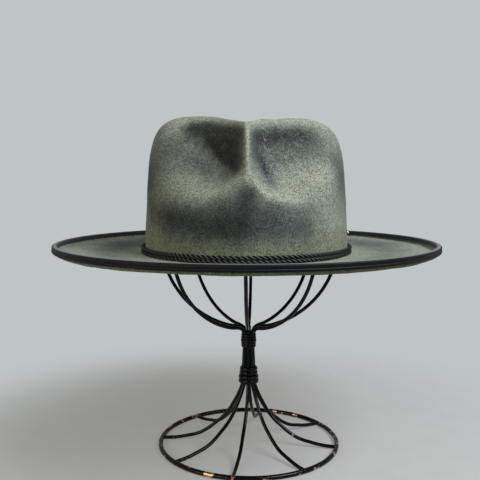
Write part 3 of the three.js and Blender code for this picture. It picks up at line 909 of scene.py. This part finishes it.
def buildStandTop(material):
    radius, height = stand["discRadius"], stand["discThickness"]
    profile = [(radius * 0.92, 0), (radius, 0.3), (radius, height - 0.6), (radius * 0.94, height - 0.15),
               (radius * 0.8, height)]
    piece = raiseDisc("stand_disc", profile, 40)
    piece.location = (stand["offset"] * mm, 0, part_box("stand_top")[0].z)
    finishPiece(piece, material, ["stand_top"], sharp=50)


# Steel wire dipped in black lacquer: wet gloss, with runs that break the highlights into flecks, and patches
# of pale copper metal near the foot, a painted reflection for warm glints
def blackLacqueredSteel():
    material, shader = newMaterial("black_lacquered_steel", {
        "Specular IOR Level": 0.16, "Coat Weight": 0.1, "Coat Roughness": 0.03})
    where = getWhere(material)
    runs = addNoise(material, where, size=3.2, detail=2)
    dust = addNoise(material, where, size=1.3, detail=3)
    joinTo(material, mapRange(material, dust, 0.35, 0.7, 0.1, 0.3), shader.inputs["Roughness"])
    addBump(material, shader, runs, strength=0.7, distance=0.5, sockets=("Normal", "Coat Normal"))
    # Pale copper metal patches near the foot: painted reflection for warm glints
    glintPatches = addNoise(material, where, size=9, detail=2)
    height = addNode(material, "ShaderNodeSeparateXYZ", inputs={0: where}).outputs[2]
    low = mapRange(material, height, 0, stand["glintHeight"] * mm, 0.055, -0.1)
    patchShare = mapRange(material, calculate(material, "ADD", glintPatches, low), 0.655, 0.69)
    base = mixColours(material, patchShare, colour("#030303"), colour("#d9a27a"))
    joinTo(material, base, shader.inputs["Base Color"])
    joinTo(material, patchShare, shader.inputs["Metallic"])
    return material


# Pale paper on a table, fading out behind into the plain backdrop
floor = {"radius": 1.6, "fadeStart": 0.14, "fadeEnd": 0.42, "paper": "#949391", "glow": "#b4b3b0"}  # metres


def buildFloor():
    startPiece()
    bpy.ops.mesh.primitive_circle_add(vertices=96, radius=floor["radius"], fill_type="NGON")
    piece = nameNew("floor")
    material, shader = newMaterial("pale_paper", {
        "Roughness": 0.9, "Specular IOR Level": 0.2, "Emission Color": colour(floor["glow"]),
        "Emission Strength": 0.42})
    where = getWhere(material)
    tooth = addNoise(material, where, size=25, detail=5)
    base = addNode(material, "ShaderNodeVectorMath", {"operation": "SCALE"}, {
        0: colour(floor["paper"])[:3], "Scale": mapRange(material, tooth, 0.3, 0.7, 0.96, 1.03)})
    joinTo(material, base.outputs[0], shader.inputs["Base Color"])
    across = addNode(material, "ShaderNodeVectorMath", {"operation": "LENGTH"}, {0: where})
    shown = mapRange(material, across.outputs["Value"], floor["fadeStart"], floor["fadeEnd"], 1, 0,
                     interpolation_type="SMOOTHERSTEP")
    joinTo(material, shown, shader.inputs["Alpha"])
    piece.data.materials.append(material)


def addLight(name, place, size, power, tint):
    bpy.ops.object.light_add(type="AREA", location=place)
    light = bpy.context.object
    light.name = name
    light.rotation_euler = (Vector((0, 0, 0.2)) - Vector(place)).to_track_quat("-Z", "Y").to_euler()
    light.data.shape = "DISK"
    light.data.size = size
    light.data.energy = power
    light.data.color = colour(tint)[:3]


# A large softbox over the right shoulder, a weak one on the left, and a pale backdrop that shows brighter
# than it lights
studio = {"backdrop": "#bfc5c5", "ambient": 0.55, "key": 17, "keySize": 0.8, "fill": 6, "fillSize": 1.0}


def buildStudio():
    world = bpy.data.worlds.new("studio")
    bpy.context.scene.world = world
    world.use_nodes = True
    backdrop = world.node_tree.nodes["Background"]
    backdrop.inputs["Color"].default_value = colour(studio["backdrop"])
    path = addNode(world, "ShaderNodeLightPath")
    strength = mapRange(world, path.outputs["Is Camera Ray"], 0, 1, studio["ambient"], 1)
    joinTo(world, strength, backdrop.inputs["Strength"])
    addLight("key_softbox", (0.62, -0.5, 0.95), studio["keySize"], studio["key"], "#eef5ff")
    addLight("left_fill", (-0.9, -0.8, 0.5), studio["fillSize"], studio["fill"], "#fff6ea")
    print("studio lit")


buildFelt(airbrushedWoolFelt())
buildBinding(blackGrosgrain())
cordYarn = blackRayonCord()
buildCord("band_cord_lower", 0, "cord_lower", cordYarn)
buildCord("band_cord_upper", 1, "cord_upper", cordYarn)
buildButton(blackLeather(), polishedNickel())
lacquer = blackLacqueredSteel()
buildRing(lacquer)
for index in range(len(stand["strays"])):
    buildRib(index, lacquer)
buildCollar("lower_binding", "lower", stand["footHeight"], lacquer)
buildCollar("upper_binding", "upper", stand["upperLevel"], lacquer)
buildStandTop(lacquer)
buildFloor()
buildStudio()
